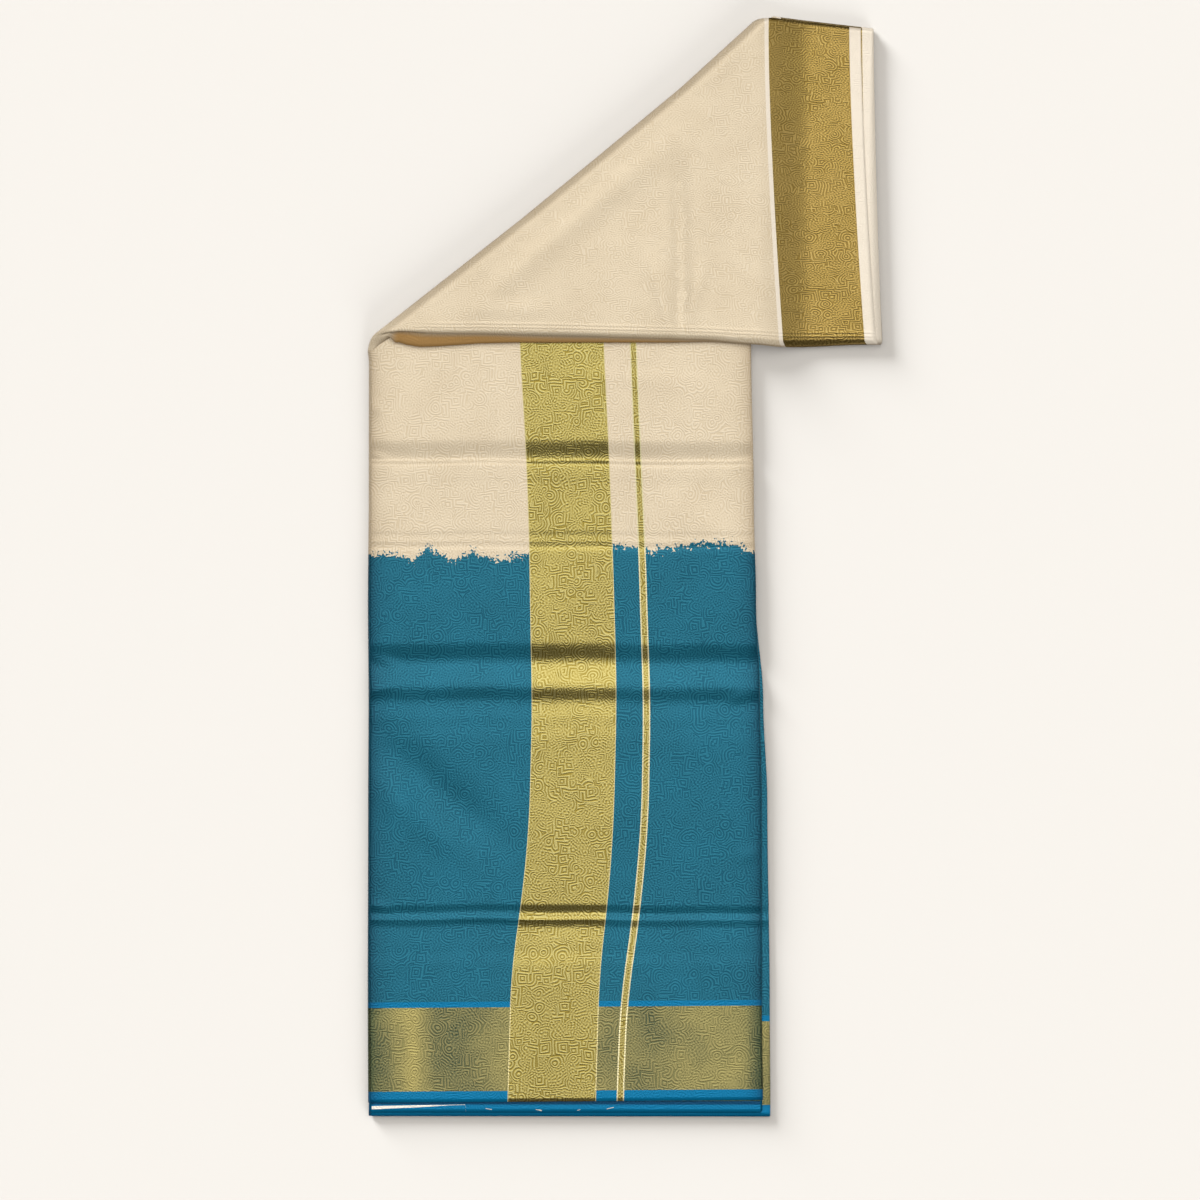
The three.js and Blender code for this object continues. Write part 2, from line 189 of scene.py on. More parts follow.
def strokes(table, x, y):
    """Soft folds, each a line with a height, a half width and ends that fade out."""
    total = np.zeros_like(x)
    columns = (table[key] for key in ("x0", "y0", "x1", "y1", "height", "half"))
    for x0, y0, x1, y1, height, half in zip(*columns):
        dx, dy = x1 - x0, y1 - y0
        length = math.hypot(dx, dy)
        t = ((x - x0) * dx + (y - y0) * dy) / length
        away = ((x - x0) * dy - (y - y0) * dx) / length
        fade = 2 * half + 0.3 * length
        ends = ease((t + half) / fade) * ease((length + half - t) / fade)
        total = total + height * np.exp(-((away / half) ** 2)) * ends
    return total


def ribbon(u, row, right, depth, out, hem, reach):
    """Points of a layer. out moves a point past the left fold (positive) or the right side."""
    u, row, depth, out = np.broadcast_arrays(u, row, depth, out)
    hem_y = lerp(hem[0], hem[1], u)
    y = np.minimum(row, FAN_START)
    y = y + (hem_y - HEM) * ease((HEM + 60 - y) / 60)
    left = look_up(SIDES, "y", "left", y) + FOLD_BULGE
    x = lerp(left, look_up(SIDES, "y", right, y) - RIGHT_INSET[right], u)
    start, _, _ = fold_thread(u, np.zeros_like(u))
    fan = np.clip((row - FAN_START) / (ROW_FOLD - FAN_START), 0, 1)
    x, y = lerp(x, start[..., 0], fan), lerp(y, start[..., 1], fan)
    relief = strip_relief(x, y)
    squeeze = np.where(relief < 0, depth / STACK, (depth / STACK) ** 3)
    flat = np.stack([x - out, y, depth + relief * squeeze], -1)

    turn = np.clip((row - ROW_FOLD) / (ROW_FLAP - ROW_FOLD), 0, 1) * math.pi
    point, normal, edge = fold_thread(u, turn)
    q = np.clip(depth / STACK, 0, 1)
    pressed = FOLD_BULGE * (np.maximum(out, 0) / FOLD_BULGE) ** SQUARE + np.minimum(out, 0)
    bulge = lerp(out, pressed, ease((row - 340) / 45))
    mouth = np.exp(-(((q - MOUTH["depth"]) / MOUTH["reach"]) ** 2)) * (out > 0)
    mouth = 1 - MOUTH["size"] * mouth * ease((row - 345) / 30) * (1 - ease((row - ROW_FLAP - 1) / 5))
    fold = point - normal * depth[..., None] + edge * (bulge * mouth)[..., None]
    hanging = ease((row - 365) / 20)
    fold[..., 1] -= pocket(fold[..., 0], q, out) * hanging
    fold[..., 2] -= droop(fold[..., 0]) * (1 - np.cos(turn)) / 2

    top, _, _ = fold_thread(u, np.full_like(u, math.pi))
    bend = 1 - (1 - u) ** END_CURVE
    stop = lerp(*FLAP_END["x"], bend)
    far = stop + lerp(reach[0], reach[1], bend)
    s = np.clip((row - ROW_FLAP) / (ROW_END - ROW_FLAP), 0, 1)
    x = lerp(top[..., 0], far, s)
    v = (x - top[..., 0]) / (stop - top[..., 0])
    y = lerp(top[..., 1], lerp(*FLAP_END["y"], u), v)
    y = y + look_up(FLAP_BOTTOM, "x", "rise", x) * (1 - u) * ease(s * 10)
    slump = look_up(FLAP_BOTTOM, "x", "slump", x) * 2 * q * np.sqrt(1 - q) * ease(s * 30)
    y = y - bulge * (1 + slump / FOLD_BULGE * (out > 0)) * mouth - pocket(x, q, out)
    relief = flap_relief(x, y) * ease(s * 8)
    for place in LIP_LINES["in"]:
        inward = (u * 290 - place) / LIP_LINES["half"]
        relief = relief + LIP_LINES["height"] * np.exp(-(inward**2)) * ease(s * 12)
    z = 2 * STACK + GAP - droop(x) - depth + relief * (1 - q) ** 2
    flap = np.stack([x, y, z], -1)
    where = row[..., None]
    return np.where(where <= ROW_FOLD, flat, np.where(where <= ROW_FLAP, fold, flap))


# %% [markdown]
# ## Soft folds
# Besides the creases that go right across, pressed cloth has short puckers where a crease meets a
# side, a long roll along the left fold and broad waves. Each is one stroke: a line with a height.

# %% Strokes on the top panel and on the flap
PANEL_STROKES = {
    "x0": [-225, -225, -236, -236, -236, -236, 118, 118, 124, -247, -240, -60, 40, -236, -206],
    "y0": [-480, 200, 106, -80, -118, -310, 100, -116, -260, -140, -190, 190, 60, 150, -480],
    "x1": [-225, -225, -214, -206, -212, -208, 100, 92, 104, -105, -140, 90, 110, -222, -206],
    "y1": [-10, 20, 98, -92, -108, -318, 92, -124, -268, -262, -272, 170, 20, 142, 180],
    "height": [-0.35, -0.25, 0.8, 1.0, 0.9, 0.9, 0.8, 0.9, 0.6, -2.6, 0.9, 0.5, 0.5, 0.8, 0.9],
    "half": [3, 3, 4, 5, 4, 4, 4, 5, 6, 18, 14, 14, 16, 4, 13],
}
FLAP_STROKES = {
    "x0": [50, 22, 74, -163, -60, 100, -150],
    "y0": [390, 290, 282, 220, 300, 210, 236],
    "x1": [54, 50, 46, 60, 70, 104, -60],
    "y1": [170, 196, 196, 406, 360, 480, 238],
    "height": [-2.4, 1.2, 1.1, 1.2, -0.6, -1.6, 0.5],
    "half": [8, 6, 6, 13, 24, 22, 8],
}
print(len(PANEL_STROKES["x0"]), "strokes on the panel,", len(FLAP_STROKES["x0"]), "on the flap")

# %% [markdown]
# ## Where the pattern lies
# The pattern is woven or dyed, so it isn't raised. Each sheet carries, at every vertex, how many
# millimetres it lies from the woven features: the two selvedges, the pallu's gold band, its thin
# line and the edge of the dye. A vertex attribute keeps such a distance exact however coarse the
# mesh is, and the material only has to compare numbers.

# %% Tables of the pattern, read along the top panel
BAND = {
    "y": [-505, -370, -310, -237, -122, -85, 16, 99, 209, 320],
    "x": [-67.4, -63.5, -55.2, -48.8, -46.0, -46.9, -49.2, -52.0, -58.0, -60],
    "half": [40.0, 40.0, 39.1, 38.2, 38.2, 38.4, 37.7, 37.7, 38.2, 38.2],
}
THIN_LINE = {
    "y": [-505, -488, -398, -361, -306, -232, -122, -76, 16, 99, 209, 320],
    "x": [-4.3, -4.1, -0.5, 5.1, 12.4, 18.9, 20.7, 18.9, 16.1, 12.4, 7.8, 5],
}
DYE_EDGE = {
    "x": [-232, -214, -195, -181, -159, -140, -118, -89, -8, 25, 51, 77, 103, 117],
    "y": [9.7, 12.4, 6, 17.9, 6.9, 15.2, 7.8, 12.4, 21.6, 14.3, 20.7, 22, 20.7, 13.3],
}
BAND_HALF = 38.3
FAR_AWAY = 900.0
UNDYED_FROM = 508.0  # the dip dye reaches this far up from the blue selvedge


def drawn(table, column, y):
    """A table's column along the strip, as a smooth line through its rows."""
    nearby = (-30, -15, 0, 15, 30)
    return np.mean([np.interp(y + shift, table["y"], table[column]) for shift in nearby], 0)


def pattern_on_panel(points):
    """Distances on the top panel, which has the band and the line."""
    x, y = points[..., 0], points[..., 1]
    return {
        "band_mm": (x - drawn(BAND, "x", y)) * BAND_HALF / drawn(BAND, "half", y),
        "line_mm": x - drawn(THIN_LINE, "x", y),
        "dye_mm": y - np.interp(x, DYE_EDGE["x"], DYE_EDGE["y"]),
    }


def run_along(points):
    """Real length along the threads from the first row, and the same from the last row."""
    steps = np.linalg.norm(np.diff(points, axis=0), axis=-1)
    length = np.concatenate([np.zeros((1, points.shape[1])), np.cumsum(steps, axis=0)])
    return length, length[-1:] - length


print("the band is", 2 * BAND_HALF, "mm wide; the dye stops", UNDYED_FROM, "mm from the blue selvedge")

# %% [markdown]
# ## Making a sheet
# A grid of points becomes a mesh of quads with a UV map in real metres: U runs along the saree's
# 5.5 m, V across its width. A Solidify modifier then gives it the wall and closes its edges.

# %% One helper for every sheet
def make_sheet(name, points, across, facts, material, flip=False):
    rows, columns, _ = points.shape
    ids = np.arange(rows * columns).reshape(rows, columns)
    quads = np.stack([ids[:-1, :-1], ids[:-1, 1:], ids[1:, 1:], ids[1:, :-1]], -1).reshape(-1, 4)
    if flip:
        quads = quads[:, ::-1]
    mesh = bpy.data.meshes.new(name)
    mesh.from_pydata((points.reshape(-1, 3) / 1000).tolist(), [], quads.tolist())
    hem, head = facts["hem_mm"], facts["head_mm"]
    up = np.where(hem < FAR_AWAY, hem, LOOM_WIDTH - head)
    uv = np.stack([np.broadcast_to(across, hem.shape), up], -1).reshape(-1, 2) / 1000
    loops = np.zeros(len(mesh.loops), np.int32)
    mesh.loops.foreach_get("vertex_index", loops)
    mesh.uv_layers.new(name="cloth").data.foreach_set("uv", uv[loops].ravel())
    blank = {"band_mm": FAR_AWAY, "line_mm": FAR_AWAY, "pale_edge": FAR_AWAY, "dye_mm": hem - UNDYED_FROM,
             "painted_light": 0.5, "rim": 0.0}
    for key, value in {**blank, **facts}.items():
        layer = mesh.attributes.new(key, "FLOAT", "POINT")
        layer.data.foreach_set("value", np.broadcast_to(value, hem.shape).astype(np.float32).ravel())
    mesh.shade_smooth()
    sheet = bpy.data.objects.new(name, mesh)
    bpy.context.scene.collection.objects.link(sheet)
    mesh.materials.append(material)
    wall = sheet.modifiers.new("wall", "SOLIDIFY")
    wall.thickness = CLOTH / 1000
    wall.offset = 0.0
    wall.use_even_offset = False
    print(name, rows, "x", columns, "points,", 4 * len(quads), "triangles with its wall")
    return sheet


def level_depth(level):
    """Middle of a layer's wall, counted from the outer face. Level 1 is the outermost."""
    return CLOTH / 2 + (level - 1) * (STACK - CLOTH) / (LAYERS - 1)


def loop_columns(side, low, high, bulge, count):
    """A fold between two levels, as columns (depth, out), from the low level to the high one."""
    turn = np.linspace(0, math.pi, count)
    middle, half = (level_depth(low) + level_depth(high)) / 2, (level_depth(high) - level_depth(low)) / 2
    return middle - half * np.cos(turn), side * bulge * np.sin(turn)


# %% [markdown]
# ## Colour and small helpers for materials
# Colours are written as sRGB hex, as one reads them off a picture, and one function turns them to
# the linear values that a shader wants. One more function adds a node with its settings and links.

# %% Helpers for materials
def hex_linear(code):
    srgb = [int(code[i : i + 2], 16) / 255 for i in (1, 3, 5)]
    return [c / 12.92 if c <= 0.04045 else ((c + 0.055) / 1.055) ** 2.4 for c in srgb] + [1.0]


def add(tree, kind, inputs=(), out=0, **settings):
    """Adds a node. inputs are sockets or values, in order or by name. Gives one of its outputs."""
    node = tree.nodes.new(kind)
    for key, value in settings.items():
        setattr(node, key, value)
    for key, value in inputs.items() if isinstance(inputs, dict) else enumerate(inputs):
        if isinstance(value, bpy.types.NodeSocket):
            tree.links.new(value, node.inputs[key])
        else:
            node.inputs[key].default_value = value
    return node.outputs[out] if node.outputs else node


# %% [markdown]
# ## Tissue silk with zari
# Kasavu tissue has a cream silk warp and a fine gilt weft, so the whole ground has a soft metallic
# sheen. The zari borders are gilt thread lying close together, almost metal. The lower half is
# dip-dyed teal: the dye stops at a ragged edge and doesn't take on the zari of the pallu band.
# The surface is pressed with a fine meander, like a calendered moire.
# One material does it all, because it is one cloth. It compares the distances on the mesh with the
# table below, which lists each woven part as the middle and half the width of its stripe.

# %% Masks of the woven parts
PARTS = {
    "hem_plain": ("hem_mm", 46.1, 46.1),
    "hem_zari": ("hem_mm", 48.5, 38.5),
    "head_plain": ("head_mm", 45.2, 45.2),
    "head_zari": ("head_mm", 48.6, 37.9),
    "band_rim": ("band_mm", 0.0, 39.0),
    "band": ("band_mm", 0.0, BAND_HALF),
    "line_rim": ("line_mm", 0.0, 3.4),
    "line": ("line_mm", 0.0, 2.3),
    "pale_edge": ("pale_edge", 0.0, 1.0),
}
# The gilt gleams and the ground glows softly, which tells the eye that it is silk and metal thread.
tissue = bpy.data.materials.new("kasavu_tissue_silk_with_zari")
tissue.use_nodes = True
tree = tissue.node_tree
tree.nodes.clear()
fact = {
    key: add(tree, "ShaderNodeAttribute", out="Fac", attribute_name=key)
    for key in ("hem_mm", "head_mm", "band_mm", "line_mm", "pale_edge", "dye_mm", "painted_light", "rim")
}
cloth_uv = add(tree, "ShaderNodeUVMap", uv_map="cloth")
mask = {
    part: add(tree, "ShaderNodeMath", [fact[key], middle, half], operation="COMPARE")
    for part, (key, middle, half) in PARTS.items()
}

# %% [markdown]
# The dye's edge is ragged at three sizes: lobes where the cloth was held, drips, and torn-looking
# specks. Noise at those sizes is added to the distance before it is compared.

# %% The ragged dye edge
RAGGED = ((26, 8, 0.5), (7, 13, 0.55), (2.3, 18, 0.5))  # size and reach in mm, roughness
edge = fact["dye_mm"]
for size_mm, reach_mm, rough in RAGGED:
    grain = {"Vector": cloth_uv, "Scale": 1000 / size_mm, "Detail": 2.0, "Roughness": rough}
    noise = add(tree, "ShaderNodeTexNoise", grain, noise_dimensions="2D")
    swing = add(tree, "ShaderNodeMath", [noise, reach_mm, -reach_mm / 2], operation="MULTIPLY_ADD")
    edge = add(tree, "ShaderNodeMath", [edge, swing], operation="ADD")
dyed = add(tree, "ShaderNodeMath", [edge, 0.0], operation="LESS_THAN")

# %% [markdown]
# The pressed meander is a maze of fine lines: short parallel strokes, and loops round a middle,
# some of them square. Gabor noise gives the strokes. Distances to scattered points give the loops,
# round ones with plain distance and square ones with the greater of the two coordinates.

# %% The pressed meander, and uneven threads
MEANDER_MM, PATCH_MM, LOOP_MM, BEND_MM = 2.5, 7.5, 13.0, 3.2
bend = add(tree, "ShaderNodeTexNoise", {"Vector": cloth_uv, "Scale": 1000 / 12, "Detail": 0.0},
           out=1, noise_dimensions="2D")
bent_uv = [bend, (BEND_MM / 1000,) * 3, cloth_uv]
bent_uv = add(tree, "ShaderNodeVectorMath", bent_uv, operation="MULTIPLY_ADD")
strokes_of = {"Vector": bent_uv, "Scale": 1000 / PATCH_MM, "Frequency": PATCH_MM / MEANDER_MM,
              "Anisotropy": 0.0}
strokes_made = add(tree, "ShaderNodeTexGabor", strokes_of, gabor_type="2D")
meander = add(tree, "ShaderNodeMapRange", {"Value": strokes_made, "From Min": 0.3, "From Max": 0.7})
for kind, shift, chosen_above in (("EUCLIDEAN", 3.0, 0.54), ("CHEBYCHEV", 7.0, 0.56)):
    moved = add(tree, "ShaderNodeVectorMath", [bent_uv, (shift, shift, 0.0)], operation="ADD")
    away = add(tree, "ShaderNodeTexVoronoi", {"Vector": moved, "Scale": 1000 / LOOP_MM},
               voronoi_dimensions="2D", distance=kind)
    phase = add(tree, "ShaderNodeMath", [away, math.tau * LOOP_MM / MEANDER_MM], operation="MULTIPLY")
    loops_made = add(tree, "ShaderNodeMath", [phase], operation="SINE")
    loops_made = add(tree, "ShaderNodeMath", [loops_made, 0.5, 0.5], operation="MULTIPLY_ADD")
    where = add(tree, "ShaderNodeTexNoise", {"Vector": moved, "Scale": 1000 / 22, "Detail": 0.0},
                noise_dimensions="2D")
    limits = {"Value": where, "From Min": chosen_above, "From Max": chosen_above + 0.05}
    where = add(tree, "ShaderNodeMapRange", limits)
    meander = add(tree, "ShaderNodeMix", {0: where, 2: meander, 3: loops_made})
cloudy = add(tree, "ShaderNodeTexNoise", {"Vector": cloth_uv, "Scale": 1000 / 45, "Detail": 4.0},
             noise_dimensions="2D")
# Real threads lie 0.15 mm apart, too fine to show, so their unevenness is drawn 1.5 mm apart.
thread_uv = add(tree, "ShaderNodeMapping", {"Vector": cloth_uv, "Scale": (90, 670, 1)})
threads = add(tree, "ShaderNodeTexNoise", {"Vector": thread_uv, "Scale": 1.0, "Detail": 2.0},
              noise_dimensions="2D")

# %% [markdown]
# Colours: cream ground with a little gold in it, teal over it where it is dyed, bright blue and
# near-white selvedges, gilt zari. Over the blue, the dyed ground shows between the gilt threads.
# The pressed lines catch the light on one side, so they are drawn a little lighter as well.

# %% Colours of the cloth
GROUNDS = {  # shade, light, and the colour of the pressed lines
    "cream": ("#c6b496", "#d8c8ac", "#efe4d0"),
    "teal": ("#054559", "#115971", "#32889f"),
    "gilt": ("#67581d", "#7c6d2f", "#b0a872"),
    "old_gilt": ("#604d1a", "#745f2e", "#a08c58"),
    "border": ("#263a30", "#8d8450", "#a39662"),
}
colour_of = {}
for name, (shade, light, lines) in GROUNDS.items():
    share = cloudy
    # On the border the painted light from the mesh is added to the noise: higher paints a highlight,
    # lower paints shade.
    if name == "border":
        share = add(tree, "ShaderNodeMath", [cloudy, 0.9, -0.45], operation="MULTIPLY_ADD")
        share = add(tree, "ShaderNodeMath", [share, fact["painted_light"]], operation="ADD", use_clamp=True)
    ground = {0: share, 6: hex_linear(shade), 7: hex_linear(light)}
    base = add(tree, "ShaderNodeMix", ground, out=2, data_type="RGBA")
    strength = 0.6 if name in ("gilt", "old_gilt") else 0.45
    share = add(tree, "ShaderNodeMath", [meander, strength], operation="MULTIPLY")
    drawn_on = {0: share, 6: base, 7: hex_linear(lines)}
    colour_of[name] = add(tree, "ShaderNodeMix", drawn_on, out=2, data_type="RGBA")

# On the border a painted highlight lies where the folded stack is rounded, with painted shade beside it;
# the value is 0.5 where the stack is flat.
halves = {0: dyed, 6: colour_of["cream"], 7: colour_of["teal"]}
colour = add(tree, "ShaderNodeMix", halves, out=2, data_type="RGBA")
STRIPES = (
    ("hem_plain", hex_linear("#006f9c")), ("head_plain", hex_linear("#e8dece")),
    ("hem_zari", colour_of["border"]), ("head_zari", colour_of["old_gilt"]),
    ("band_rim", hex_linear("#c9bd8c")), ("line_rim", hex_linear("#d3caa2")),
    ("line", colour_of["gilt"]), ("band", colour_of["gilt"]), ("pale_edge", hex_linear("#f0e8dc")),
)
for part, dye in STRIPES:
    colour = add(tree, "ShaderNodeMix", {0: mask[part], 6: colour, 7: dye}, out=2, data_type="RGBA")
# Painted shade: on folds, edges and gaps the colour is multiplied towards brown, and towards dark teal
# where it is dyed.
shade_colours = {0: dyed, 6: hex_linear("#7d6238"), 7: hex_linear("#1c7f90")}
shade_colour = add(tree, "ShaderNodeMix", shade_colours, out=2, data_type="RGBA")
shade_amount = add(tree, "ShaderNodeMath", [fact["rim"], 1.0], operation="MINIMUM")
shade_weight = add(tree, "ShaderNodeMath", [dyed, 0.35, 0.5], operation="MULTIPLY_ADD")
shade_weight = add(tree, "ShaderNodeMath", [shade_amount, shade_weight], operation="MULTIPLY")
shade_mix = {0: shade_weight, 6: colour, 7: shade_colour}
colour = add(tree, "ShaderNodeMix", shade_mix, out=2, data_type="RGBA", blend_type="MULTIPLY")
# Above 1, the value paints the layers that hang out of the pocket golden brown, as painted shade.
pocket_shade = add(tree, "ShaderNodeMath", [fact["rim"], 1.0], operation="SUBTRACT", use_clamp=True)
pocket_shaded = {0: pocket_shade, 6: colour, 7: hex_linear("#a88350")}
colour = add(tree, "ShaderNodeMix", pocket_shaded, out=2, data_type="RGBA")

# %% [markdown]
# Metallic follows the gilt thread: nearly all metal on the zari, less on the border over blue, and
# a trace on the ground. The meander is pressed equally deep into all of it.

# %% The cloth's surface
PRESSED_MM = 0.095  # how deep the meander is pressed in
zari = mask["band"]
for part, share in (("head_zari", 1.0), ("hem_zari", 0.6), ("line", 0.8)):
    more = add(tree, "ShaderNodeMath", [mask[part], share], operation="MULTIPLY")
    zari = add(tree, "ShaderNodeMath", [zari, more], operation="MAXIMUM")
metallic = add(tree, "ShaderNodeMath", [dyed, 0.16, 0.15], operation="MULTIPLY_ADD")
metallic = add(tree, "ShaderNodeMix", {0: zari, 2: metallic, 3: 0.9})
roughness = add(tree, "ShaderNodeMath", [zari, -0.07, 0.34], operation="MULTIPLY_ADD")
height = add(tree, "ShaderNodeMath", [threads, 0.25, meander], operation="MULTIPLY_ADD")
pressed = add(tree, "ShaderNodeBump", {"Height": height, "Strength": 1.0, "Distance": PRESSED_MM / 1000})
surface = add(tree, "ShaderNodeBsdfPrincipled",
              {"Base Color": colour, "Metallic": metallic, "Roughness": roughness, "Normal": pressed,
               "Specular IOR Level": 0.12, "Sheen Weight": 0.02, "Sheen Roughness": 0.4})
add(tree, "ShaderNodeOutputMaterial", {"Surface": surface})
print(tissue.name, "has", len(tree.nodes), "nodes")

# %% [markdown]
# ## The panel that shows on the strip
# This is the second of the sixteen panels, with the pallu's band. On the left its fold wraps the
# whole stack, on the right it wraps the upper half of it. Rows lie close where a crease is sharp
# and far apart where the cloth is flat, which keeps the mesh small and the creases crisp.

# %% Top panel
FINE_ROW, WIDE_ROW = 1.3, 3.6
PANEL_COLUMNS, FLAP_COLUMNS = 92, 110
# Painted highlight and shade on the border across the strip, strongest where the stack is rounded near
# its sides.
BORDER_PAINTED_LIGHT = {
    "x": [-238, -219, -208, -195, -184, -173, -151, -129, -107, 23, 33, 60, 90, 110, 120],
    "painted_light": [0.1, 0.25, 0.6, 1.0, 0.6, 0.3, 0.22, 0.3, 0.5, 0.3, 0.38, 0.5, 0.58, 0.5, 0.1],
}


def crease_rows(start, stop):
    rows = [start]
    while rows[-1] < stop - WIDE_ROW:
        here = rows[-1]
        steep = abs(look_up(CREASES, "y", "z", here + 2) - look_up(CREASES, "y", "z", here - 2))
        rows.append(here + (FINE_ROW if steep > 0.12 else WIDE_ROW))
    return np.array(rows + [stop])


def joined(*parts):
    """Columns (u, depth, out) of a sheet, put side by side."""
    parts = [[np.broadcast_to(v, np.shape(part[1])) for v in part] for part in parts]
    return [np.concatenate(column) for column in zip(*parts)]


def across_from(points, row, start):
    """Real distance across the columns at one row, counted along the saree's length."""
    steps = np.linalg.norm(np.diff(points[row], axis=0), axis=-1)
    return start + np.concatenate([[0], np.cumsum(steps)])


def turned(row):
    """How far a row is round the slanting fold's upper half: 1 on its rim, 0 on the flat flap."""
    past = np.clip((row - (ROW_FOLD + ROW_FLAP) / 2) / (ROW_FLAP - ROW_FOLD) * 2, -1, 1)
    return np.where(past < 0, 1.0, (1 - past) ** 0.8)


flat_u = np.linspace(0, 1, PANEL_COLUMNS)
left_depth, left_out = loop_columns(1, 1, 16, FOLD_BULGE - CLOTH / 2, 15)
right_depth, right_out = loop_columns(-1, 9, 16, BUNDLE_BULGE - CLOTH / 2, 11)
u, depth, out = joined(
    (0.0, left_depth[:-1], left_out[:-1]),
    (flat_u, np.full(PANEL_COLUMNS, level_depth(16)), 0.0),
    (1.0, right_depth[::-1][1:], right_out[::-1][1:]),
)
fan_rows = np.linspace(FAN_START, ROW_FOLD - 0.5, 12)[1:]
panel_rows = np.concatenate([crease_rows(HEM, FAN_START), fan_rows])[:, None]
points = ribbon(u, panel_rows, "upper", depth, out, (-492.4, -490.0), (0, 0))
hem_mm, _ = run_along(points)
from_side = np.minimum(u, 1 - u) * PANEL
facts = {
    "hem_mm": hem_mm, "head_mm": np.full_like(hem_mm, FAR_AWAY),
    "painted_light": look_up(BORDER_PAINTED_LIGHT, "x", "painted_light", points[..., 0]),
    # Painted shade on the side folds, fading out over a few millimetres inside each side.
    "rim": np.maximum(np.abs(out) / FOLD_BULGE, 0.7 * np.exp(-from_side / 7)) + 0 * hem_mm,
    **pattern_on_panel(points),
}
top_panel = make_sheet("top_panel", points, across_from(points, 0, PANEL), facts, tissue)

# %% [markdown]
# ## The panel on the table
# The pallu's end panel lies face down on the table. It is flat, its left fold is the top panel's,
# and its right side is the saree's cut end.

# %% End panel, under the strip
u = np.linspace(0, 1, 40)
end_rows = np.concatenate([np.arange(HEM, FAN_START, 9.0), fan_rows])[:, None]
points = ribbon(u, end_rows, "lower", level_depth(1), 0.0, (-505.2, -504.8), (0, 0))
hem_mm, _ = run_along(points)
facts = {"hem_mm": hem_mm, "head_mm": np.full_like(hem_mm, FAR_AWAY)}
end_panel = make_sheet("end_panel", points, across_from(points, 0, 0.0), facts, tissue, flip=True)

# %% [markdown]
# ## The flap
# The same end panel comes up round the slanting fold and lies face up. Along the flap's lower edge
# it wraps the stack and runs back underneath, where it is the second panel again. The stack slumps
# a little past that edge where nothing holds it up, right of the strip. Below the edge's lip the
# inner layers hang out like a shallow pocket. Shade is painted on them in golden brown, and also on
# the fold's rim, on the underside and along the top edge.

# %% Flap
def rows_along_flap(count):
    """Rows from the slanting fold to the flap's end, closest where they leave the fold."""
    return ROW_FLAP + (ROW_END - ROW_FLAP) * np.linspace(0, 1, count) ** 1.3


u = np.linspace(1, 0, FLAP_COLUMNS) ** 1.7
wrap_depth, wrap_out = loop_columns(1, 1, 16, FOLD_BULGE - CLOTH / 2, 22)
under_u = np.linspace(0, 1, 24)[1:]
u, depth, out = joined(
    (u, np.full(FLAP_COLUMNS, level_depth(1)), 0.0),
    (0.0, wrap_depth[1:], wrap_out[1:]),
    (under_u, np.full(len(under_u), level_depth(16)), 0.0),
)
flap_rows = np.concatenate([np.linspace(ROW_FOLD, ROW_FLAP, 25), rows_along_flap(120)[1:]])[:, None]
under = np.clip((depth - depth[0]) / (depth[-1] - depth[0]), 0, 1)
points = ribbon(u, flap_rows, "upper", depth, out, (-505.2, -504.8), (6.0 * under, 10.6 * under))
_, head_mm = run_along(points)
over = PANEL * u
# Painted shade on the flap: on the slanting fold's rim (less near the left corner), on the underside past
# the lower edge, in the pocket, and along the top edge right of the strip.
corner = 0.2 + 0.8 * ease((points[..., 0] + 240) / 60)
top_edge_shade = 0.35 * np.exp(-(1 - u) * 290 / 9) * ease((points[..., 0] - 110) / 20)
underside_shade = ease((under - 0.22) / 0.15) + np.clip(pocket(points[..., 0], under, out) / 3, 0, 1)
underside_shade = underside_shade * ease((points[..., 0] + 222) / 14)
facts = {
    "hem_mm": np.full_like(head_mm, FAR_AWAY), "head_mm": head_mm,
    "band_mm": np.where(under > 0.99, over - 189, FAR_AWAY),
    "line_mm": np.where(under > 0.99, over - 255, FAR_AWAY),
    "rim": np.maximum(np.maximum(turned(flap_rows) * corner, underside_shade), top_edge_shade * (under < 0.01)),
}
flap = make_sheet("flap", points, across_from(points, 60, 0.0), facts, tissue)

# %% [markdown]
# ## The hidden layers
# Fourteen panels lie between. Folding in half four times brings them to the levels below, in the
# order in which they follow each other along the saree, with a fold between each two. So this is
# one sheet too, and its folds nest inside each other at the sides as the real ones do. Inside the
# stack, where nobody looks, the levels are pressed a little closer so that no two can touch.

# %% Hidden layers
ORDER = [9, 8, 5, 12, 13, 4, 3, 14, 11, 6, 7, 10, 15, 2]
# Selvedges of the levels at the hem. Layers that were pressed together lie in ledges.
HEM_AT = {
    "level": [1, 2, 3, 4, 5, 6, 7, 8, 9, 10, 11, 12, 13, 14, 15, 16],
    "y": [-505.2, -505.1, -505.0, -504.9, -504.8, -504.7, -504.6, -504.5,
          -501.6, -501.4, -501.1, -500.9, -489.0, -488.7, -488.4, -492.4],
}
HEM_SPREAD = (0.2, 0.7)  # how unevenly the layers lie at the hem's left and right end
SLIVER = {"level": 12, "from": (-234.0, -497.2), "to": (-132.0, -493.8), "half": 1.5}
rng = np.random.default_rng(16)
levels = np.arange(1, LAYERS + 1)
hem_even = look_up(HEM_AT, "level", "y", levels)
hem_of = [hem_even + rng.uniform(-spread, spread, LAYERS) for spread in HEM_SPREAD]
reach_of = [base + rng.uniform(-0.3, 0.3, LAYERS) for base in FLAP_END["reach"]]

parts = {"u": [], "depth": [], "out": [], "level": []}


def lay(u, depth, out, level):
    for key, value in zip(parts, (u, depth, out, level)):
        parts[key].append(np.broadcast_to(value, np.shape(depth)).astype(float))


